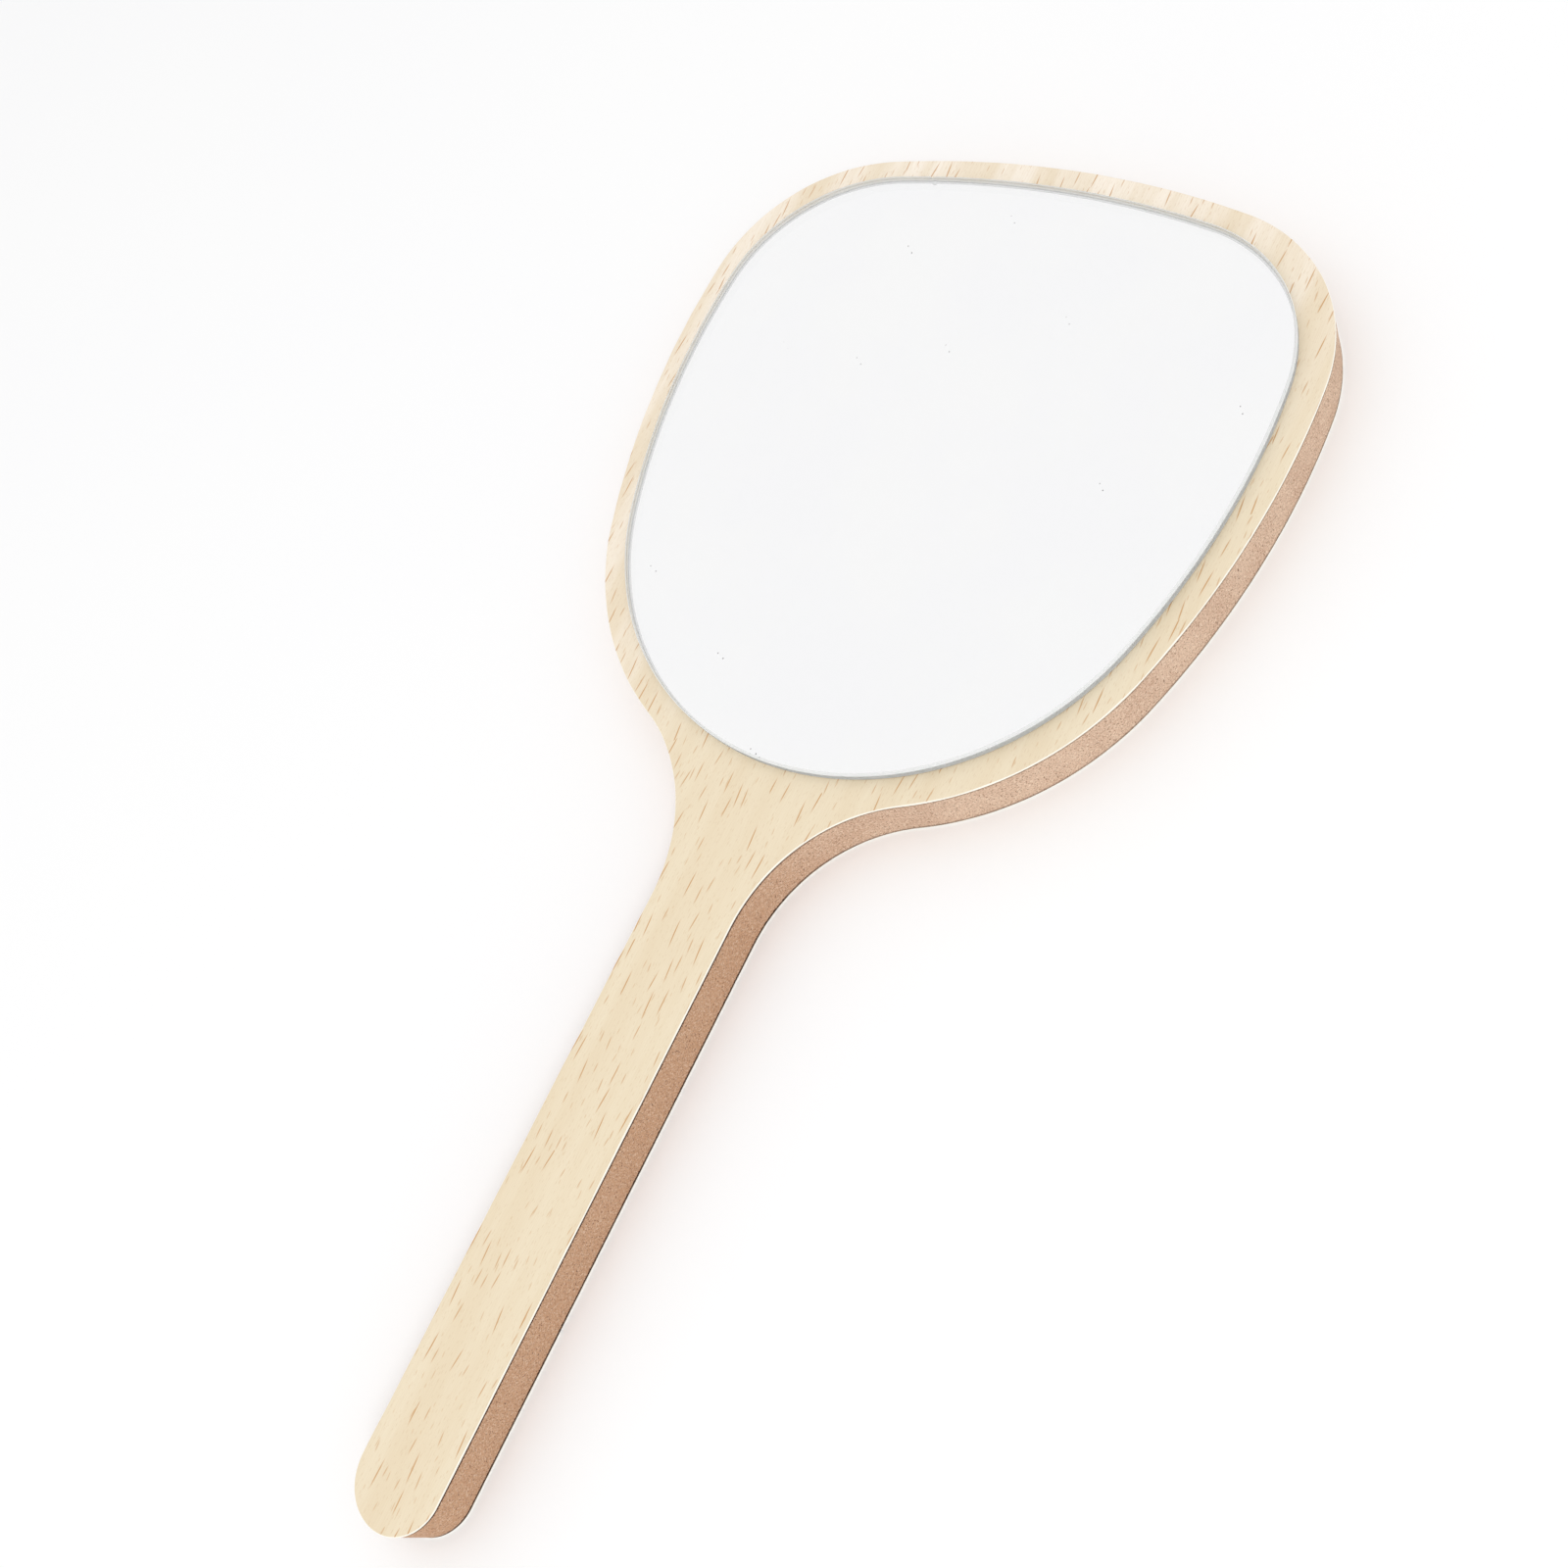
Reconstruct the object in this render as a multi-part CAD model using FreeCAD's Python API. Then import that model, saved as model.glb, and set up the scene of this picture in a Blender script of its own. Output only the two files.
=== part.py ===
"""Hand mirror: a paddle of veneered board with a mirror plate taped to its face.

The mirror lies on its back. Millimetres; +X across the head, +Y along the handle towards the head, +Z out of
the glass. The origin is under the middle of the whole length, on the plane that the back rests on.
"""

import FreeCAD, Part

import math
import os

from FreeCAD import Vector

# Overall sizes
OVERALL_LENGTH = 250.0
HEAD_WIDTH = 120.0
HANDLE_WIDTH = 16.0
BOARD_THICKNESS = 10.0

# Layers of the board, from either face inwards
VENEER = 0.3
GLUE_LINE = 0.05
SANDED_ARRIS = 0.15

# Board outline: one side of the head from its far end to its neck, as tangent arcs (radius, and turn in degrees)
FAR_TURN = 11.5
CORNER_RADIUS, CORNER_TURN = 31.5, 74.5
SIDE_RADIUS, SIDE_TURN = 142.0, 22.5
HEEL_RADIUS, HEEL_TURN = 53.0, 45.5

# Mirror plate: its outline in the same form, and its layers from the glass down to the board
GLASS_WIDTH = 110.4
GLASS_BORDER = 4.9
GLASS_FAR_TURN = 10.0
GLASS_CORNER_RADIUS, GLASS_CORNER_TURN = 29.5, 75.0
GLASS_SIDE_RADIUS, GLASS_SIDE_TURN = 125.0, 23.0
GLASS = 1.8
FACE_ARRIS = 0.45
BACK_ARRIS = 0.15
SILVER = 0.03
BACKING_PAINT = 0.05
TAPE = 0.12

# Coatings stop where the chamfer round the back begins; the tape stays well inside that
COATING_INSET = BACK_ARRIS
TAPE_INSET = 4.0
TAPE_STRIPS = 4
TAPE_STRIP_WIDTH = 18.0

# Places that follow from the sizes
FAR_END_Y = OVERALL_LENGTH / 2
QUARTER_TURN = 90.0
HALF_TURN = 180.0
ON_PLANE = 1e-6


def sine(degrees):
    return math.sin(math.radians(degrees))


def cosine(degrees):
    return math.cos(math.radians(degrees))


def far_radius(half_width, far_turn, corner, corner_turn, side):
    """Radius of the shallow far edge that brings the side out to half_width where it runs straight down."""
    corner_out = corner * (sine(far_turn + corner_turn) - sine(far_turn))
    side_out = side * (1 - sine(far_turn + corner_turn))
    return (half_width - corner_out - side_out) / sine(far_turn)


def walk(start, heading, steps, inset=0.0):
    """Edges of a run of tangent steps. Heading is in degrees clockwise from +X.

    A step is ("arc", radius, turn), with a positive turn to the right, or ("line", length). The run is drawn
    clockwise, and inset moves it inwards by that much.
    """
    inward = Vector(-sine(heading), -cosine(heading), 0)
    point = start + inward * inset
    edges = []
    for step in steps:
        if step[0] == "line":
            end = point + Vector(cosine(heading), -sine(heading), 0) * step[1]
            edges.append(Part.LineSegment(point, end).toShape())
        else:
            _, radius, turn = step
            side = 1 if turn > 0 else -1
            radius -= side * inset
            centre = point + Vector(-sine(heading), -cosine(heading), 0) * side * radius
            middle = centre + Vector(sine(heading + turn / 2), cosine(heading + turn / 2), 0) * side * radius
            end = centre + Vector(sine(heading + turn), cosine(heading + turn), 0) * side * radius
            edges.append(Part.Arc(point, middle, end).toShape())
            heading += turn
        point = end
    return edges, point


def closed_outline(top_y, far, far_turn, half_steps, end_step, inset):
    """A wire that is the same on both sides: the far edge, one side, the near end, and the side again."""
    start = Vector(-far * sine(far_turn), top_y - far * (1 - cosine(far_turn)), 0)
    steps = [("arc", far, 2 * far_turn)] + half_steps + [end_step] + half_steps[::-1]
    edges, _ = walk(start, -far_turn, steps, inset)
    return Part.Wire(edges)


def board_outline(inset=0.0):
    far = far_radius(HEAD_WIDTH / 2, FAR_TURN, CORNER_RADIUS, CORNER_TURN, SIDE_RADIUS)
    side_end = FAR_TURN + CORNER_TURN + SIDE_TURN
    heel_end = side_end + HEEL_TURN
    heel_x = HEAD_WIDTH / 2 - SIDE_RADIUS * (1 - sine(side_end)) - HEEL_RADIUS * (sine(side_end) - sine(heel_end))
    neck_turn = heel_end - QUARTER_TURN
    neck = (heel_x - HANDLE_WIDTH / 2) / (1 - cosine(neck_turn))
    half = [
        ("arc", CORNER_RADIUS, CORNER_TURN),
        ("arc", SIDE_RADIUS, SIDE_TURN),
        ("arc", HEEL_RADIUS, HEEL_TURN),
        ("arc", neck, -neck_turn),
    ]
    _, neck_end = walk(Vector(0, FAR_END_Y, 0), 0.0, [("arc", far, FAR_TURN)] + half)
    straight = OVERALL_LENGTH / 2 + neck_end.y - HANDLE_WIDTH / 2
    half.append(("line", straight))
    handle_end = ("arc", HANDLE_WIDTH / 2, HALF_TURN)
    return closed_outline(FAR_END_Y, far, FAR_TURN, half, handle_end, inset)


def glass_outline(inset=0.0):
    far = far_radius(GLASS_WIDTH / 2, GLASS_FAR_TURN, GLASS_CORNER_RADIUS, GLASS_CORNER_TURN, GLASS_SIDE_RADIUS)
    half = [
        ("arc", GLASS_CORNER_RADIUS, GLASS_CORNER_TURN),
        ("arc", GLASS_SIDE_RADIUS, GLASS_SIDE_TURN),
    ]
    top_y = FAR_END_Y - GLASS_BORDER
    _, side_end = walk(Vector(0, top_y, 0), 0.0, [("arc", far, GLASS_FAR_TURN)] + half)
    heading = GLASS_FAR_TURN + GLASS_CORNER_TURN + GLASS_SIDE_TURN
    heel = side_end.x / sine(heading)
    near_end = ("arc", heel, 2 * (HALF_TURN - heading))
    return closed_outline(top_y, far, GLASS_FAR_TURN, half, near_end, inset)


def plate(outline, bottom, thickness):
    face = Part.Face(outline)
    face.translate(Vector(0, 0, bottom))
    return face.extrude(Vector(0, 0, thickness))


def rim(shape, height):
    """The edges of a plate that lie all round it at one height."""
    box_of = [(edge, edge.BoundBox) for edge in shape.Edges]
    return [e for e, box in box_of if abs(box.ZMin - height) < ON_PLANE and abs(box.ZMax - height) < ON_PLANE]


def front_veneer():
    sheet = plate(board_outline(), BOARD_THICKNESS - VENEER, VENEER)
    return sheet.makeChamfer(SANDED_ARRIS, rim(sheet, BOARD_THICKNESS))


def back_veneer():
    sheet = plate(board_outline(), 0.0, VENEER)
    return sheet.makeChamfer(SANDED_ARRIS, rim(sheet, 0.0))


def board_core():
    bottom = VENEER + GLUE_LINE
    return plate(board_outline(), bottom, BOARD_THICKNESS - 2 * bottom)


def glue_line(bottom):
    return plate(board_outline(), bottom, GLUE_LINE)


def mirror_tape():
    """Strips of double-sided tape across the plate, evenly spaced, cut to the shape of the plate."""
    room = plate(glass_outline(TAPE_INSET), BOARD_THICKNESS, TAPE)
    box = room.BoundBox
    gap = (box.YLength - TAPE_STRIPS * TAPE_STRIP_WIDTH) / (TAPE_STRIPS - 1)
    strips = []
    for i in range(TAPE_STRIPS):
        near = box.YMin + i * (TAPE_STRIP_WIDTH + gap)
        corner = Vector(box.XMin, near, BOARD_THICKNESS)
        strips.append(room.common(Part.makeBox(box.XLength, TAPE_STRIP_WIDTH, TAPE, corner)).Solids[0])
    return Part.makeCompound(strips)


def mirror_backing_paint():
    return plate(glass_outline(COATING_INSET), BOARD_THICKNESS + TAPE, BACKING_PAINT)


def silver_layer():
    return plate(glass_outline(COATING_INSET), BOARD_THICKNESS + TAPE + BACKING_PAINT, SILVER)


def mirror_glass():
    """Float glass with its edge ground square, a chamfer round its face and a smaller one round its back."""
    bottom = BOARD_THICKNESS + TAPE + BACKING_PAINT + SILVER
    sheet = plate(glass_outline(), bottom, GLASS)
    sheet = sheet.makeChamfer(BACK_ARRIS, rim(sheet, bottom))
    return sheet.makeChamfer(FACE_ARRIS, rim(sheet, bottom + GLASS))


def main():
    nodes = {
        "back_veneer": back_veneer(),
        "back_glue_line": glue_line(VENEER),
        "board_core": board_core(),
        "front_glue_line": glue_line(BOARD_THICKNESS - VENEER - GLUE_LINE),
        "front_veneer": front_veneer(),
        "mirror_tape": mirror_tape(),
        "mirror_backing_paint": mirror_backing_paint(),
        "silver_layer": silver_layer(),
        "mirror_glass": mirror_glass(),
    }
    os.makedirs("parts", exist_ok=True)
    for name, shape in nodes.items():
        box = shape.BoundBox
        size = f"{box.XLength:.2f} x {box.YLength:.2f} x {box.ZLength:.2f}"
        print(f"{name}: valid {shape.isValid()}, {len(shape.Solids)} solid(s), {size} mm, z from {box.ZMin:.2f}")
        shape.exportStep(f"parts/{name}.step")


main()
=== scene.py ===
"""Looks of the hand mirror: beech veneer over a raw fibreboard edge, and a ground-edge mirror plate."""

import math

import bpy
import numpy as np
from mathutils import Matrix, Vector, noise


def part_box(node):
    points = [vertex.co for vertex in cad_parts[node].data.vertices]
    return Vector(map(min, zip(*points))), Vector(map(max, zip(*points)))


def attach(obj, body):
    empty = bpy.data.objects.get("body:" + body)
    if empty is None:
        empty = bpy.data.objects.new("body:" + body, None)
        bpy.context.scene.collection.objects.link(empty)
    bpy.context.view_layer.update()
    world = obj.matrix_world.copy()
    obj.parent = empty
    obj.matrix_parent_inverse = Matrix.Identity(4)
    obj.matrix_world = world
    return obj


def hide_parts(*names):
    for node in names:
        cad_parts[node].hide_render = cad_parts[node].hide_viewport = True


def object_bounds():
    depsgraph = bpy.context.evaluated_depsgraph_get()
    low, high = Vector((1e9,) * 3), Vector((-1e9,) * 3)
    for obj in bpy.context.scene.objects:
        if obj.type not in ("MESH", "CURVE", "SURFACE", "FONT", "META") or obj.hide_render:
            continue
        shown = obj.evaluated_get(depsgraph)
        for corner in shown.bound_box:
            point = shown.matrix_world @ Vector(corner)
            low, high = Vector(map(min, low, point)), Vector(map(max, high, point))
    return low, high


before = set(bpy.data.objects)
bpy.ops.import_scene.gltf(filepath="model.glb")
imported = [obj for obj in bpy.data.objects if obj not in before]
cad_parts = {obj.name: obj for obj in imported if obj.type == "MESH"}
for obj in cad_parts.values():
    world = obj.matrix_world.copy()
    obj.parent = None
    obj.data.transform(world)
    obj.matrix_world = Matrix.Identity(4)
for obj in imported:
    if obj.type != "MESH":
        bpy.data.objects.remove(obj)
CAD_LOW, CAD_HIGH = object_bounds()

MM = 0.001

# Board outline: one side of the head, as tangent arcs (radius, and turn in degrees)
FAR_TURN = 11.5
CORNER = (31.5 * MM, 74.5)
SIDE = (142.0 * MM, 22.5)
HEEL = (53.0 * MM, 45.5)
HANDLE_WIDTH = 16.0 * MM

# Glass outline in the same form
GLASS_FAR_TURN = 10.0
GLASS_CORNER = (29.5 * MM, 75.0)
GLASS_SIDE = (125.0 * MM, 23.0)

# Edge shapes. FLAT_BAND is the flat strip inside each edge that keeps smooth shading off the faces
SANDED_EDGE = 0.21 * MM
GLASS_TOP_ARRIS = 0.45 * MM
GLASS_BACK_ARRIS = 0.15 * MM
CHALK_LINE = 0.15 * MM
GROUND_WAVE = 0.01 * MM
NICK_X = -24.0 * MM
NICK_REACH = 0.6 * MM
SILVER_BOND = 0.01 * MM
GLUE_RECESS = 0.04 * MM
CORE_RECESS = 0.02 * MM
CORE_FIBRE = 0.06 * MM
CORE_WAVE = 0.04 * MM
CHIP_DEPTH = 0.30 * MM
CHIP_HEIGHT = 0.7 * MM
FLAT_BAND = 0.7 * MM
NICK_DEPTH = 0.8

# Unevenness of the edges: how long its features are, and how much of the size it varies
VENEER_WEAR, VENEER_WEAR_SHARE = 6 * MM, 0.5
GLUE_RUN, GLUE_RUN_SHARE = 2 * MM, 0.5
FILM_FRAY, FILM_FRAY_SHARE = 1.5 * MM, 0.12
GRIND_RUN = 3 * MM
ARRIS_RUN, BACK_ARRIS_SHARE, TOP_ARRIS_SHARE = 5 * MM, 0.15, 0.10

# Raw edge of the core: sizes of its fibres, grit and sanding waves, along the edge and up it
FIBRE_LENGTH, FIBRE_HEIGHT = 0.5 * MM, 0.35 * MM
GRIT_SIZE = 0.22 * MM
WAVE_LENGTH, WAVE_HEIGHT = 14 * MM, 20 * MM

# Bites along the back edge: their length, the length of a run of them, and where they become frequent
BITE_LENGTH = 0.45 * MM
BITE_RUN = 9 * MM
BITES_START_Y, BITES_FADE_OVER = 10 * MM, 25 * MM
FEWEST_BITES = 0.25
CHIP_SEED = 3.0

# Mesh spacing
OUTLINE_STEP = 0.5 * MM
CORE_STEP = 0.30 * MM
GLASS_STEP = 0.4 * MM
VENEER_EDGE_LOOPS = 5
SHARP_ANGLE = 35.0

# Camera: it aims at a point on the mirror's face. Azimuth 0 is on the -Y side, and 90 on the +X side
AIM = Vector((6.2, 3.4, 12.0)) * MM
CAMERA_DISTANCE = 275.2 * MM
CAMERA_AZIMUTH = 70.36
CAMERA_ELEVATION = 57.56
CAMERA_ROLL = -46.32
LENS_MM = 39.52
SENSOR_MM = 36.0
NEAREST_SEEN, FARTHEST_SEEN = 0.01, 50.0

# Colours of the beech veneer, as 0-255 display values
BEECH = (240, 226, 199)
# The next colour is painted sheen: the veneer turns paler and less yellow towards the far end and the -X
# side, where the light falls more strongly
BEECH_PAINTED_SHEEN = (253, 243, 229)
BEECH_BAND = (233, 215, 184)
BEECH_FIBRE = (222, 200, 166)
# The next colour is a painted highlight along the lit edge of each veneer
BEECH_PAINTED_EDGE_HIGHLIGHT = (255, 252, 240)
FAINT_DASH = (200, 166, 122)
SHORT_DASH = (210, 166, 114)
LONG_DASH = (202, 150, 92)

# Colours of the fibreboard and the glue
BOARD_LIGHT = (221, 190, 165)
BOARD_DARK = (213, 180, 155)
# The next colour is painted shade: the darker, browner edge of the handle stands for the shadow and warm
# bounce of the holding hand
BOARD_PAINTED_HAND_SHADE = (194, 150, 116)
BOARD_TUFT = (248, 226, 202)
BOARD_GRIT = (140, 100, 76)
BOARD_PIT = (112, 78, 58)
BOARD_SKIN = (76, 50, 36)
GLUE_DARK = (60, 41, 31)
GLUE_LIGHT = (92, 66, 50)

# Colours of the mirror and its layers
DUST = (120, 116, 110)
GROUND_TINT = (247, 251, 249)
WHITE = (255, 255, 255)
SILVER_NEUTRAL = (248, 248, 248)
SILVER_COOL = (247, 247, 248)
PAINT_DARK = (120, 126, 128)
PAINT_LIGHT = (136, 141, 142)
TAPE_LIGHT = (232, 231, 224)
TAPE_DARK = (216, 214, 206)

# Glass: its index of refraction, and how its worked surfaces pass light
GLASS_IOR = 1.52
SIDE_SEE_THROUGH = 0.8
CHALK_SEE_THROUGH = 0.3
ARRIS_SEE_THROUGH = 0.35
ARRIS_CLEAR = 0.5

# Studio, in metres: grey levels of the surroundings, the floor's size, and the lamp
DIM_LEVEL = 0.68
MIRRORED_LEVEL = 0.9975
NEAR_HORIZON_LEVEL = 0.82
FAR_HORIZON_LEVEL = 0.96
FLOOR_RADIUS = 6.0
FLOOR_CORNERS = 96
LAMP_PLACE = Vector((1.0, -0.7, 1.6))
LAMP_WIDTH = 0.8
LAMP_WATTS = 12.0

QUARTER_TURN = 90.0
HALF_TURN = 180.0


# ---------------------------------------------------------------- outlines


def sine(degrees):
    return math.sin(math.radians(degrees))


def cosine(degrees):
    return math.cos(math.radians(degrees))


def far_radius(half_width, far_turn, corner, side):
    """Radius of the shallow far edge that brings the side out to half_width."""
    corner_end = far_turn + corner[1]
    corner_out = corner[0] * (sine(corner_end) - sine(far_turn))
    side_out = side[0] * (1 - sine(corner_end))
    return (half_width - corner_out - side_out) / sine(far_turn)


def walk(start, heading, steps, spacing):
    """Points and outward directions along tangent steps, clockwise. Heading is clockwise from +X, in degrees.

    A step is (radius, turn), or (length, None) for a straight line. Returns them with the run's end.
    """
    point = np.array(start, float)
    points, outs = [], []
    for size, turn in steps:
        length = size if turn is None else size * abs(math.radians(turn))
        count = max(2, math.ceil(length / spacing))
        part = np.arange(count) / count
        if turn is None:
            along = np.array((cosine(heading), -sine(heading)))
            points.append(point + np.outer(part * size, along))
            outs.append(np.tile((sine(heading), cosine(heading)), (count, 1)))
            point = point + along * size
        else:
            reach = math.copysign(size, turn)
            centre = point - np.array((sine(heading), cosine(heading))) * reach
            angle = np.radians(heading + part * turn)
            out = np.stack((np.sin(angle), np.cos(angle)), axis=1)
            points.append(centre + out * reach)
            outs.append(out)
            heading += turn
            point = centre + np.array((sine(heading), cosine(heading))) * reach
    return np.concatenate(points), np.concatenate(outs), point


def closed_outline(top_y, far, far_turn, half, near_end, spacing):
    start = (-far * sine(far_turn), top_y - far * (1 - cosine(far_turn)))
    steps = [(far, 2 * far_turn)] + half + [near_end] + half[::-1]
    points, outs, _ = walk(start, -far_turn, steps, spacing)
    return points, outs


def board_outline(spacing=OUTLINE_STEP):
    half_width = (CAD_HIGH.x - CAD_LOW.x) / 2
    far = far_radius(half_width, FAR_TURN, CORNER, SIDE)
    side_end = FAR_TURN + CORNER[1] + SIDE[1]
    heel_end = side_end + HEEL[1]
    heel_x = half_width - SIDE[0] * (1 - sine(side_end)) - HEEL[0] * (sine(side_end) - sine(heel_end))
    neck_turn = heel_end - QUARTER_TURN
    neck = (heel_x - HANDLE_WIDTH / 2) / (1 - cosine(neck_turn))
    half = [CORNER, SIDE, HEEL, (neck, -neck_turn)]
    _, _, neck_end = walk((0, CAD_HIGH.y), 0.0, [(far, FAR_TURN)] + half, spacing)
    half.append((neck_end[1] - CAD_LOW.y - HANDLE_WIDTH / 2, None))
    return closed_outline(CAD_HIGH.y, far, FAR_TURN, half, (HANDLE_WIDTH / 2, HALF_TURN), spacing)


def glass_outline(spacing=OUTLINE_STEP):
    low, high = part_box("mirror_glass")
    far = far_radius((high.x - low.x) / 2, GLASS_FAR_TURN, GLASS_CORNER, GLASS_SIDE)
    half = [GLASS_CORNER, GLASS_SIDE]
    _, _, side_end = walk((0, high.y), 0.0, [(far, GLASS_FAR_TURN)] + half, spacing)
    heading = GLASS_FAR_TURN + GLASS_CORNER[1] + GLASS_SIDE[1]
    near_end = (side_end[0] / sine(heading), 2 * (HALF_TURN - heading))
    return closed_outline(high.y, far, GLASS_FAR_TURN, half, near_end, spacing)


# ---------------------------------------------------------------- meshes


def ring(outline, inset, height):
    """A loop of points at one height, moved in from the outline. Inset and height may vary along it."""
    points, outs = outline
    moved = points - outs * np.broadcast_to(inset, len(points))[:, None]
    return np.column_stack((moved, np.broadcast_to(height, len(points))))


def plate(name, rings, slots=None):
    """A closed plate from loops that run from the middle of its underside round its edge to the top.

    slots gives the material slot of each band between two loops, the top and the bottom taking slot 0.
    """
    count = len(rings[0])
    around = np.arange(count)
    after = np.roll(around, -1)
    faces = [list(map(int, around))]
    indices = [0]
    for i in range(len(rings) - 1):
        low, high = i * count, (i + 1) * count
        quads = np.stack((low + around, high + around, high + after, low + after), axis=1)
        faces.extend(quads.tolist())
        indices.extend([slots[i] if slots else 0] * count)
    faces.append([int(v) for v in (len(rings) - 1) * count + around[::-1]])
    indices.append(0)
    mesh = bpy.data.meshes.new(name)
    mesh.from_pydata(np.concatenate(rings).tolist(), [], faces)
    mesh.polygons.foreach_set("material_index", indices)
    mesh.polygons.foreach_set("use_smooth", [True] * len(faces))
    mesh.set_sharp_from_angle(angle=math.radians(SHARP_ANGLE))
    made = bpy.data.objects.new(name, mesh)
    bpy.context.scene.collection.objects.link(made)
    return made


def along_noise(outline, scale, seed):
    """Smooth noise from -1 to 1 along an outline, with features about scale metres long."""
    return np.array([noise.noise(Vector((x / scale, y / scale, seed))) for x, y in outline[0]])


def chips(outline, seed):
    """How deeply small bites cut the back edge along the outline, from 0 to 1. Most are on the handle."""
    fine = along_noise(outline, BITE_LENGTH, seed)
    patch = along_noise(outline, BITE_RUN, seed + 1)
    near_handle = np.clip((BITES_START_Y - outline[0][:, 1]) / BITES_FADE_OVER, FEWEST_BITES, 1)
    return np.clip(fine * 2.2 - 0.35, 0, 1) * np.clip(patch * 2 + 0.35, 0, 1) * near_handle


def veneer_rings(outline, flat, edge, bite):
    """Loops of a veneer sheet, lowest first. Its glued side is at height flat and its face at height edge."""
    face_up = 1 if edge > flat else -1
    worn = SANDED_EDGE * (1 + VENEER_WEAR_SHARE * along_noise(outline, VENEER_WEAR, edge / MM))
    rings = [ring(outline, FLAT_BAND, flat), ring(outline, bite, flat)]
    for angle in np.linspace(0, math.pi / 2, VENEER_EDGE_LOOPS):
        inset = bite + worn * (1 - math.cos(angle))
        rings.append(ring(outline, inset, edge - face_up * worn * (1 - math.sin(angle))))
    rings.append(ring(outline, bite + worn + FLAT_BAND, edge))
    return rings if face_up > 0 else rings[::-1]


def make_front_veneer():
    low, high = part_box("front_veneer")
    return plate("face_veneer", veneer_rings(board_outline(), low.z, high.z, 0.0))


def make_back_veneer():
    low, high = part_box("back_veneer")
    outline = board_outline()
    bite = chips(outline, CHIP_SEED) * CHIP_DEPTH
    return plate("rear_veneer", veneer_rings(outline, high.z, low.z, bite))


def make_glue_line(node, name):
    low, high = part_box(node)
    outline = board_outline()
    recess = GLUE_RECESS * (1 + GLUE_RUN_SHARE * along_noise(outline, GLUE_RUN, low.z / MM))
    insets = (FLAT_BAND, recess, recess, FLAT_BAND)
    heights = (low.z, low.z, high.z, high.z)
    return plate(name, [ring(outline, inset, height) for inset, height in zip(insets, heights)])


def core_depth(point, height):
    """How far the raw edge of the core lies inside its outline at a point: fibres over sanding waves."""
    x, y = point
    fibre = noise.noise(Vector((x / FIBRE_LENGTH, y / FIBRE_LENGTH, height / FIBRE_HEIGHT)))
    grit = noise.noise(Vector((x / GRIT_SIZE, y / GRIT_SIZE, height / GRIT_SIZE + 7)))
    wave = noise.noise(Vector((x / WAVE_LENGTH, y / WAVE_LENGTH, height / WAVE_HEIGHT)))
    return CORE_RECESS + CORE_FIBRE * (0.35 * abs(fibre) + 0.3 * abs(grit)) + CORE_WAVE * (0.5 + 0.5 * wave)


def make_core():
    low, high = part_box("board_core")
    outline = board_outline(CORE_STEP)
    bite = chips(outline, CHIP_SEED) * CHIP_DEPTH
    rows = math.ceil((high.z - low.z) / CORE_STEP)
    rings = [ring(outline, FLAT_BAND, low.z)]
    for i in range(rows + 1):
        height = low.z + (high.z - low.z) * i / rows
        near_back = max(0.0, 1 - (height - low.z) / CHIP_HEIGHT)
        depth = np.array([core_depth(point, height) for point in outline[0]])
        rings.append(ring(outline, depth + bite * near_back, height))
    rings.append(ring(outline, FLAT_BAND, high.z))
    return plate("raw_edge_core", rings)


def make_film(node, name, inset, lift=0.0):
    """A thin coating under the glass. lift raises it into what it is bonded to."""
    low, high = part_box(node)
    high.z += lift
    outline = glass_outline()
    ragged = inset * (1 + FILM_FRAY_SHARE * along_noise(outline, FILM_FRAY, high.z / MM))
    insets = (inset + FLAT_BAND, ragged, ragged, inset + FLAT_BAND)
    heights = (low.z, low.z, high.z, high.z)
    return plate(name, [ring(outline, i, h) for i, h in zip(insets, heights)])


def nick(outline):
    """Depth, from 0 to 1, of the one small chip in the far edge of the glass."""
    x, y = outline[0].T
    away = np.where(y > y.mean(), abs(x - NICK_X), NICK_REACH)
    return np.clip(1 - (away / NICK_REACH) ** 2, 0, 1)


def make_glass():
    low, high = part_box("mirror_glass")
    outline = glass_outline(GLASS_STEP)
    wave = GROUND_WAVE * (0.5 + 0.5 * along_noise(outline, GRIND_RUN, 1.0))
    back = GLASS_BACK_ARRIS * (1 + BACK_ARRIS_SHARE * along_noise(outline, ARRIS_RUN, 2.0))
    uneven = TOP_ARRIS_SHARE * along_noise(outline, ARRIS_RUN, 3.0)
    top = GLASS_TOP_ARRIS * (1 + uneven + NICK_DEPTH * nick(outline))
    profile = (
        (back + FLAT_BAND, low.z, 0),
        (back, low.z, 1),
        (wave, low.z + back, 1),
        (wave, high.z - top, 2),
        (CHALK_LINE, high.z - top + CHALK_LINE, 3),
        (top, high.z, 0),
        (top + FLAT_BAND, high.z, 0),
    )
    rings = [ring(outline, inset, height) for inset, height, _ in profile]
    return plate("ground_edge_glass", rings, [slot for _, _, slot in profile[:-1]])


# ---------------------------------------------------------------- material nodes


def new_material(name):
    material = bpy.data.materials.new(name)
    material.use_nodes = True
    tree = material.node_tree
    return material, tree, tree.nodes["Principled BSDF"]


def node(tree, kind, sockets, **settings):
    """Adds a node, sets its properties, and fills its inputs with values or links."""
    made = tree.nodes.new(kind)
    for key, value in settings.items():
        setattr(made, key, value)
    for key, value in sockets.items():
        if isinstance(value, bpy.types.NodeSocket):
            tree.links.new(value, made.inputs[key])
        else:
            made.inputs[key].default_value = value
    return made


def maths(tree, operation, a, b=0.0):
    return node(tree, "ShaderNodeMath", {0: a, 1: b}, operation=operation).outputs[0]


def vectors(tree, operation, a, b=(0, 0, 0)):
    made = node(tree, "ShaderNodeVectorMath", {0: a, 1: b}, operation=operation)
    return made.outputs["Value" if operation == "DOT_PRODUCT" else "Vector"]


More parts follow.
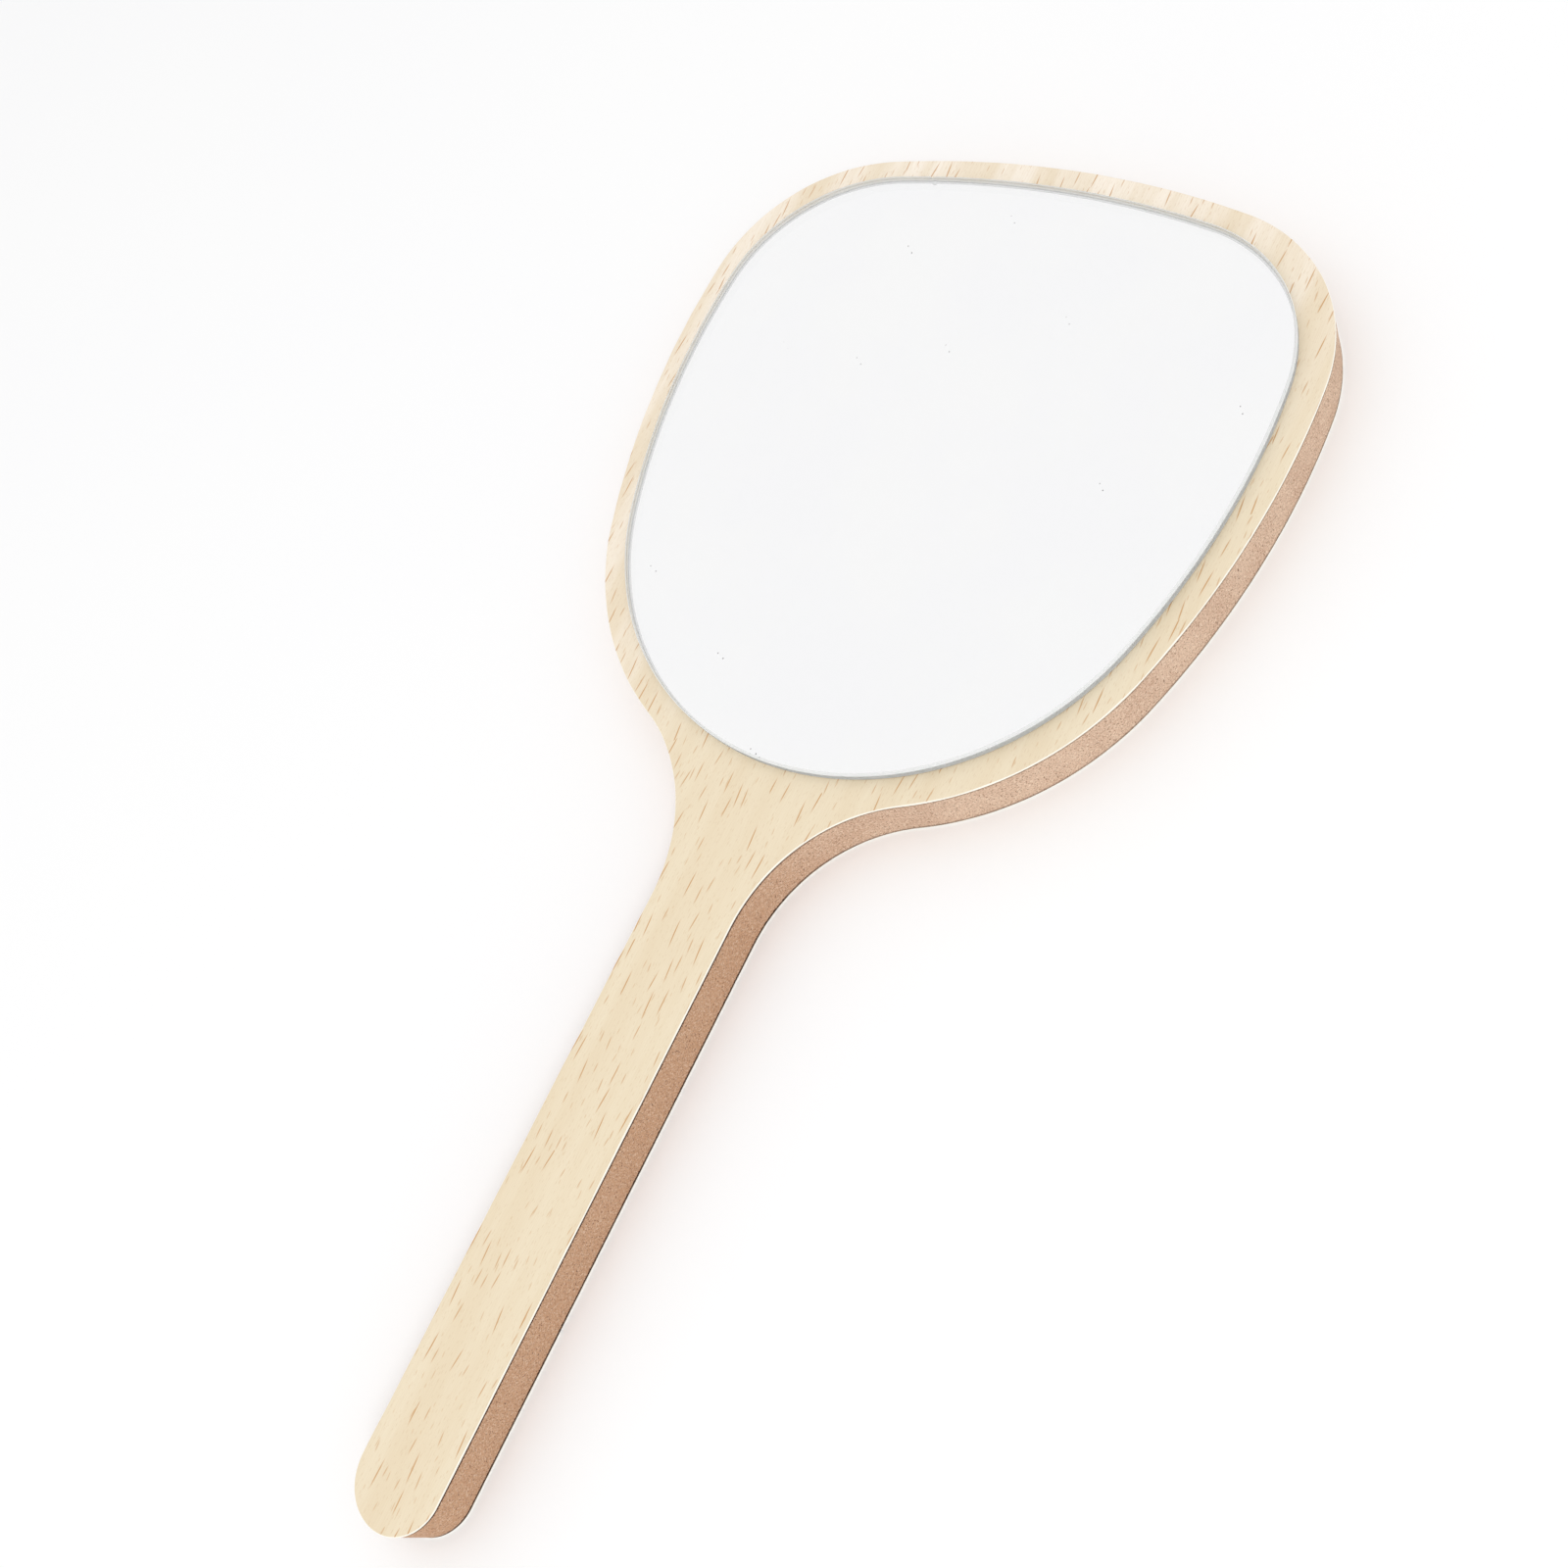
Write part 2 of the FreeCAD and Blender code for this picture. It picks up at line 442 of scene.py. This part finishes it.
def ramp(tree, value, start, end, low=0.0, high=1.0):
    """value mapped smoothly from start..end to low..high, and held outside that."""
    sockets = {"Value": value, "From Min": start, "From Max": end, "To Min": low, "To Max": high}
    return node(tree, "ShaderNodeMapRange", sockets, interpolation_type="SMOOTHSTEP").outputs["Result"]


def mix(tree, amount, a, b):
    sockets = {"Factor": amount, 6: a, 7: b}
    return node(tree, "ShaderNodeMix", sockets, data_type="RGBA").outputs[2]


def place_mm(tree, stretch=(1.0, 1.0, 1.0)):
    """Where a point is on the object, in millimetres, divided by stretch."""
    coords = tree.nodes.new("ShaderNodeTexCoord").outputs["Object"]
    return vectors(tree, "MULTIPLY", coords, tuple(1 / MM / s for s in stretch))


def noise_at(tree, place, scale, detail=2.0, roughness=0.5, output="Fac"):
    sockets = {"Vector": place, "Scale": scale, "Detail": detail, "Roughness": roughness}
    return node(tree, "ShaderNodeTexNoise", sockets).outputs[output]


def set_bump(tree, shader, height, depth_mm):
    sockets = {"Height": height, "Distance": depth_mm * MM, "Strength": 1.0}
    bump = node(tree, "ShaderNodeBump", sockets)
    tree.links.new(bump.outputs["Normal"], shader.inputs["Normal"])


def srgb(colour):
    """A linear colour from 0-255 display values."""
    parts = [c / 255 for c in colour]
    return tuple(c / 12.92 if c <= 0.04045 else ((c + 0.055) / 1.055) ** 2.4 for c in parts) + (1.0,)


# ---------------------------------------------------------------- materials


def flecks(tree, place, pitch, half_size, share, shift):
    """Short dashes along +Y, one per cell of size pitch in millimetres, with some cells left empty."""
    moved = vectors(tree, "ADD", place, (shift, shift * 3, 0))
    cell = vectors(tree, "DIVIDE", moved, (*pitch, 1))
    voronoi = node(tree, "ShaderNodeTexVoronoi", {"Vector": cell, "Scale": 1.0}, voronoi_dimensions="2D")
    centre = vectors(tree, "MULTIPLY", voronoi.outputs["Position"], (*pitch, 1))
    apart = node(tree, "ShaderNodeSeparateXYZ", {0: vectors(tree, "SUBTRACT", moved, centre)})
    dice = node(tree, "ShaderNodeSeparateColor", {0: voronoi.outputs["Color"]})
    lean = ramp(tree, dice.outputs["Green"], 0, 1, -0.09, 0.09)
    across = maths(tree, "SUBTRACT", apart.outputs["X"], maths(tree, "MULTIPLY", apart.outputs["Y"], lean))
    length = ramp(tree, dice.outputs["Blue"], 0, 1, 0.35 * half_size[1], half_size[1])
    x = maths(tree, "DIVIDE", across, half_size[0])
    y = maths(tree, "DIVIDE", apart.outputs["Y"], length)
    squares = maths(tree, "ADD", maths(tree, "MULTIPLY", x, x), maths(tree, "MULTIPLY", y, y))
    away = maths(tree, "SQRT", squares)
    shape = ramp(tree, away, 1.0, 0.4)
    chosen = maths(tree, "LESS_THAN", dice.outputs["Red"], share)
    strength = maths(tree, "MULTIPLY", chosen, ramp(tree, dice.outputs["Blue"], 0, 1, 0.6, 1.0))
    return maths(tree, "MULTIPLY", shape, strength)


def beech():
    material, tree, shader = new_material("beech_veneer")
    place = place_mm(tree)
    apart = node(tree, "ShaderNodeSeparateXYZ", {0: place})
    x, y, z = (apart.outputs[axis] for axis in "XYZ")
    sway = noise_at(tree, place_mm(tree, (30, 45, 30)), 1.0, output="Color")
    sway = vectors(tree, "MULTIPLY", vectors(tree, "SUBTRACT", sway, (0.5, 0.5, 0.5)), (3.0, 0, 0))
    grain = vectors(tree, "ADD", place, sway)
    long_dashes = flecks(tree, grain, (2.0, 6.4), (0.16, 3.1), 0.65, 11.0)
    short_dashes = flecks(tree, grain, (1.5, 3.8), (0.12, 1.1), 0.38, 47.0)
    faint_dashes = flecks(tree, grain, (0.5, 1.6), (0.09, 0.5), 0.7, 83.0)
    bands = noise_at(tree, vectors(tree, "DIVIDE", grain, (5, 90, 5)), 1.0, 2.0)
    fibres = noise_at(tree, vectors(tree, "DIVIDE", grain, (0.16, 5, 1)), 1.0, 3.0, 0.6)
    # Painted sheen: the veneer is paler towards the far end and the -X side, standing in for the stronger
    # light there
    painted_sheen = ramp(tree, maths(tree, "SUBTRACT", y, x), 10, 80)
    base = mix(tree, painted_sheen, srgb(BEECH), srgb(BEECH_PAINTED_SHEEN))
    base = mix(tree, ramp(tree, bands, 0.3, 0.7, 0.0, 0.7), base, srgb(BEECH_BAND))
    base = mix(tree, ramp(tree, fibres, 0.35, 0.75, 0.0, 0.3), base, srgb(BEECH_FIBRE))
    base = mix(tree, maths(tree, "MULTIPLY", faint_dashes, 0.25), base, srgb(FAINT_DASH))
    base = mix(tree, maths(tree, "MULTIPLY", short_dashes, 0.55), base, srgb(SHORT_DASH))
    base = mix(tree, maths(tree, "MULTIPLY", long_dashes, 0.85), base, srgb(LONG_DASH))
    face_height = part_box("front_veneer")[1].z / MM
    below_face = maths(tree, "MINIMUM", z, maths(tree, "SUBTRACT", face_height, z))
    # Painted highlight: below the rounded arris, the side edge of each veneer is painted near-white, as where
    # light catches it
    base = mix(tree, ramp(tree, below_face, 0.01, 0.05), base, srgb(BEECH_PAINTED_EDGE_HIGHLIGHT))
    tree.links.new(base, shader.inputs["Base Color"])
    dashes = maths(tree, "MAXIMUM", long_dashes, short_dashes)
    tree.links.new(ramp(tree, dashes, 0, 1, 0.50, 0.42), shader.inputs["Roughness"])
    relief = maths(tree, "SUBTRACT", maths(tree, "MULTIPLY", fibres, 0.5), dashes)
    set_bump(tree, shader, relief, 0.012)
    shader.inputs["Specular IOR Level"].default_value = 0.35
    return material


def fibreboard():
    """Raw sawn fibreboard: matted light and dark fibres, and a thin darker skin at either face. Towards the
    handle it carries painted shade of the holding hand: a darker, browner tone, fewer light tufts and a
    stronger skin.
    """
    material, tree, shader = new_material("raw_fibreboard")
    place = place_mm(tree)
    apart = node(tree, "ShaderNodeSeparateXYZ", {0: place})
    low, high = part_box("board_core")
    from_back = maths(tree, "SUBTRACT", apart.outputs["Z"], low.z / MM)
    from_front = maths(tree, "SUBTRACT", high.z / MM, apart.outputs["Z"])
    near_face = maths(tree, "MINIMUM", from_back, from_front)
    tufts = noise_at(tree, place, 2.8, 3.0, 0.7)
    grit = noise_at(tree, place, 3.8, 2.0, 0.6)
    tone = noise_at(tree, place, 0.12, 2.0)
    pits = noise_at(tree, vectors(tree, "ADD", place, (31, 7, 3)), 2.2, 1.0)
    # Painted shade of the holding hand: darker and browner towards the handle (-Y), with fewer light tufts
    # there
    painted_hand_shade = ramp(tree, apart.outputs["Y"], 12, -25)
    base = mix(tree, ramp(tree, tone, 0.35, 0.65), srgb(BOARD_LIGHT), srgb(BOARD_DARK))
    base = mix(tree, maths(tree, "MULTIPLY", painted_hand_shade, 0.85), base, srgb(BOARD_PAINTED_HAND_SHADE))
    loose = maths(tree, "MULTIPLY", ramp(tree, tufts, 0.50, 0.62), ramp(tree, painted_hand_shade, 0, 1, 0.62, 0.35))
    base = mix(tree, loose, base, srgb(BOARD_TUFT))
    base = mix(tree, ramp(tree, grit, 0.46, 0.34, 0.0, 0.8), base, srgb(BOARD_GRIT))
    base = mix(tree, ramp(tree, pits, 0.33, 0.25, 0.0, 0.8), base, srgb(BOARD_PIT))
    skin = maths(tree, "ADD", near_face, ramp(tree, grit, 0.3, 0.7, -0.08, 0.08))
    # The dark skin grows stronger towards the handle, as part of the painted hand shade
    strength = ramp(tree, painted_hand_shade, 0, 1, 0.45, 1.0)
    darkened = maths(tree, "MULTIPLY", ramp(tree, skin, 0.55, 0.30), strength)
    base = mix(tree, darkened, base, srgb(BOARD_SKIN))
    tree.links.new(base, shader.inputs["Base Color"])
    tree.links.new(ramp(tree, tufts, 0.3, 0.7, 0.95, 0.8), shader.inputs["Roughness"])
    set_bump(tree, shader, maths(tree, "ADD", tufts, grit), 0.06)
    shader.inputs["Specular IOR Level"].default_value = 0.2
    return material


def glue():
    material, tree, shader = new_material("glue_line")
    patches = noise_at(tree, place_mm(tree), 0.8, 3.0)
    base = mix(tree, ramp(tree, patches, 0.35, 0.65), srgb(GLUE_DARK), srgb(GLUE_LIGHT))
    tree.links.new(base, shader.inputs["Base Color"])
    tree.links.new(ramp(tree, patches, 0.3, 0.7, 0.5, 0.75), shader.inputs["Roughness"])
    return material


def clear_glass():
    """The polished faces of the glass, with a few specks of dust and the faintest wiping marks."""
    material, tree, shader = new_material("clear_glass")
    place = place_mm(tree)
    speck = flecks(tree, place, (17, 19), (0.13, 0.2), 0.3, 5.0)
    wiped = noise_at(tree, vectors(tree, "DIVIDE", place, (30, 8, 8)), 1.0, 3.0)
    tree.links.new(mix(tree, speck, (1, 1, 1, 1), srgb(DUST)), shader.inputs["Base Color"])
    tree.links.new(maths(tree, "SUBTRACT", 1.0, speck), shader.inputs["Transmission Weight"])
    tree.links.new(ramp(tree, wiped, 0.5, 0.8, 0.0, 0.006), shader.inputs["Roughness"])
    shader.inputs["IOR"].default_value = GLASS_IOR
    return material


def matt_glass(name, see_through, clear=0.0):
    """Glass left matt by grinding or honing.

    see_through is the share of its scattered light that comes from the other side. clear is the share of what
    lies behind it that shows sharply through.
    """
    material, tree, shader = new_material(name)
    grind = noise_at(tree, vectors(tree, "DIVIDE", place_mm(tree), (0.8, 0.8, 0.3)), 1.0, 2.0)
    colour = mix(tree, ramp(tree, grind, 0.3, 0.7), srgb(GROUND_TINT), srgb(WHITE))
    tree.links.new(colour, shader.inputs["Base Color"])
    tree.links.new(ramp(tree, grind, 0.3, 0.7, 0.45, 0.6), shader.inputs["Roughness"])
    glow = node(tree, "ShaderNodeBsdfTranslucent", {"Color": colour}).outputs["BSDF"]
    sockets = {0: see_through, 1: shader.outputs["BSDF"], 2: glow}
    surface = node(tree, "ShaderNodeMixShader", sockets).outputs[0]
    if clear:
        behind = tree.nodes.new("ShaderNodeBsdfTransparent").outputs["BSDF"]
        surface = node(tree, "ShaderNodeMixShader", {0: clear, 1: surface, 2: behind}).outputs[0]
    tree.links.new(surface, tree.nodes["Material Output"].inputs["Surface"])
    return material


def silvering():
    material, tree, shader = new_material("silvering")
    cloud = noise_at(tree, place_mm(tree), 0.05, 2.0)
    base = mix(tree, ramp(tree, cloud, 0.3, 0.7), srgb(SILVER_NEUTRAL), srgb(SILVER_COOL))
    tree.links.new(base, shader.inputs["Base Color"])
    shader.inputs["Metallic"].default_value = 1.0
    shader.inputs["Roughness"].default_value = 0.0
    return material


def backing_paint():
    material, tree, shader = new_material("backing_paint")
    mottle = noise_at(tree, place_mm(tree), 1.5, 4.0)
    base = mix(tree, ramp(tree, mottle, 0.3, 0.7), srgb(PAINT_DARK), srgb(PAINT_LIGHT))
    tree.links.new(base, shader.inputs["Base Color"])
    tree.links.new(ramp(tree, mottle, 0.3, 0.7, 0.5, 0.7), shader.inputs["Roughness"])
    set_bump(tree, shader, mottle, 0.01)
    return material


def tape():
    material, tree, shader = new_material("double_sided_tape")
    weave = noise_at(tree, place_mm(tree), 3.0, 3.0)
    base = mix(tree, ramp(tree, weave, 0.3, 0.7), srgb(TAPE_LIGHT), srgb(TAPE_DARK))
    tree.links.new(base, shader.inputs["Base Color"])
    tree.links.new(ramp(tree, weave, 0.3, 0.7, 0.45, 0.7), shader.inputs["Roughness"])
    return material


def floor_paint():
    material, tree, shader = new_material("pale_floor")
    cloud = noise_at(tree, place_mm(tree), 0.01, 2.0)
    base = mix(tree, ramp(tree, cloud, 0.3, 0.7), (0.98, 0.98, 0.98, 1), (0.975, 0.975, 0.98, 1))
    tree.links.new(base, shader.inputs["Base Color"])
    shader.inputs["Roughness"].default_value = 0.8
    shader.inputs["Specular IOR Level"].default_value = 0.1
    return material


# ---------------------------------------------------------------- pieces


def settle(piece, stands_for, materials):
    for material in materials:
        piece.data.materials.append(material)
    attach(piece, "root")
    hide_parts(stands_for)


def build_board():
    wood = beech()
    line = glue()
    settle(make_front_veneer(), "front_veneer", [wood])
    settle(make_back_veneer(), "back_veneer", [wood])
    settle(make_glue_line("front_glue_line", "face_glue"), "front_glue_line", [line])
    settle(make_glue_line("back_glue_line", "rear_glue"), "back_glue_line", [line])
    settle(make_core(), "board_core", [fibreboard()])


def build_mirror():
    side = matt_glass("ground_side", SIDE_SEE_THROUGH)
    chalk = matt_glass("chalky_line", CHALK_SEE_THROUGH)
    honed = matt_glass("honed_arris", ARRIS_SEE_THROUGH, ARRIS_CLEAR)
    settle(make_glass(), "mirror_glass", [clear_glass(), side, chalk, honed])
    silver = make_film("silver_layer", "silver_film", GLASS_BACK_ARRIS, SILVER_BOND)
    settle(silver, "silver_layer", [silvering()])
    paint = make_film("mirror_backing_paint", "paint_film", GLASS_BACK_ARRIS)
    settle(paint, "mirror_backing_paint", [backing_paint()])
    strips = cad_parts["mirror_tape"]
    strips.data.materials.clear()
    strips.data.materials.append(tape())


# ---------------------------------------------------------------- studio


def build_floor():
    mesh = bpy.data.meshes.new("floor")
    rim = []
    for i in range(FLOOR_CORNERS):
        angle = math.tau * i / FLOOR_CORNERS
        rim.append((FLOOR_RADIUS * math.cos(angle), FLOOR_RADIUS * math.sin(angle), CAD_LOW.z))
    mesh.from_pydata(rim, [], [list(range(FLOOR_CORNERS))])
    floor = bpy.data.objects.new("floor", mesh)
    bpy.context.scene.collection.objects.link(floor)
    floor.data.materials.append(floor_paint())


def camera_axes():
    """The camera's right, up and backward directions."""
    level = Vector((cosine(CAMERA_AZIMUTH), sine(CAMERA_AZIMUTH), 0))
    out = cosine(CAMERA_ELEVATION)
    back = Vector((out * sine(CAMERA_AZIMUTH), -out * cosine(CAMERA_AZIMUTH), sine(CAMERA_ELEVATION)))
    right = level * cosine(CAMERA_ROLL) + back.cross(level) * sine(CAMERA_ROLL)
    return right, back.cross(right), back


def grey(level):
    return (level, level, level, 1)


def build_world():
    """Pale light from all round, brightest on the far side, which is what the mirror shows the camera."""
    world = bpy.data.worlds.new("studio")
    bpy.context.scene.world = world
    world.use_nodes = True
    tree = world.node_tree
    direction = tree.nodes.new("ShaderNodeTexCoord").outputs["Generated"]
    _, _, back = camera_axes()
    facing = vectors(tree, "DOT_PRODUCT", direction, (-back.x, -back.y, back.z))
    colour = mix(tree, ramp(tree, facing, 0.55, 0.92), grey(DIM_LEVEL), grey(MIRRORED_LEVEL))
    far_side = ramp(tree, facing, -0.3, 0.5)
    horizon = mix(tree, far_side, grey(NEAR_HORIZON_LEVEL), grey(FAR_HORIZON_LEVEL))
    height = node(tree, "ShaderNodeSeparateXYZ", {0: direction}).outputs["Z"]
    colour = mix(tree, ramp(tree, height, 0.30, 0.02), colour, horizon)
    background = tree.nodes["Background"]
    tree.links.new(colour, background.inputs["Color"])
    background.inputs["Strength"].default_value = 1.0


def build_lamp():
    """One soft lamp on the camera's side. Reflections and light through glass leave it out."""
    light = bpy.data.lights.new("key", "AREA")
    light.shape = "DISK"
    light.size = LAMP_WIDTH
    light.energy = LAMP_WATTS
    lamp = bpy.data.objects.new("key", light)
    lamp.location = LAMP_PLACE
    lamp.visible_glossy = False
    lamp.visible_transmission = False
    lamp.rotation_euler = (-LAMP_PLACE).to_track_quat("-Z", "Y").to_euler()
    bpy.context.scene.collection.objects.link(lamp)


def build_camera():
    data = bpy.data.cameras.new("camera")
    data.lens = LENS_MM
    data.sensor_width = SENSOR_MM
    data.clip_start, data.clip_end = NEAREST_SEEN, FARTHEST_SEEN
    camera = bpy.data.objects.new("camera", data)
    right, up, back = camera_axes()
    turn = Matrix((right, up, back)).transposed()
    camera.matrix_world = Matrix.Translation(AIM + back * CAMERA_DISTANCE) @ turn.to_4x4()
    bpy.context.scene.collection.objects.link(camera)
    bpy.context.scene.camera = camera


build_camera()
build_floor()
build_world()
build_lamp()
bpy.context.scene.view_settings.view_transform = "Standard"
build_board()
build_mirror()
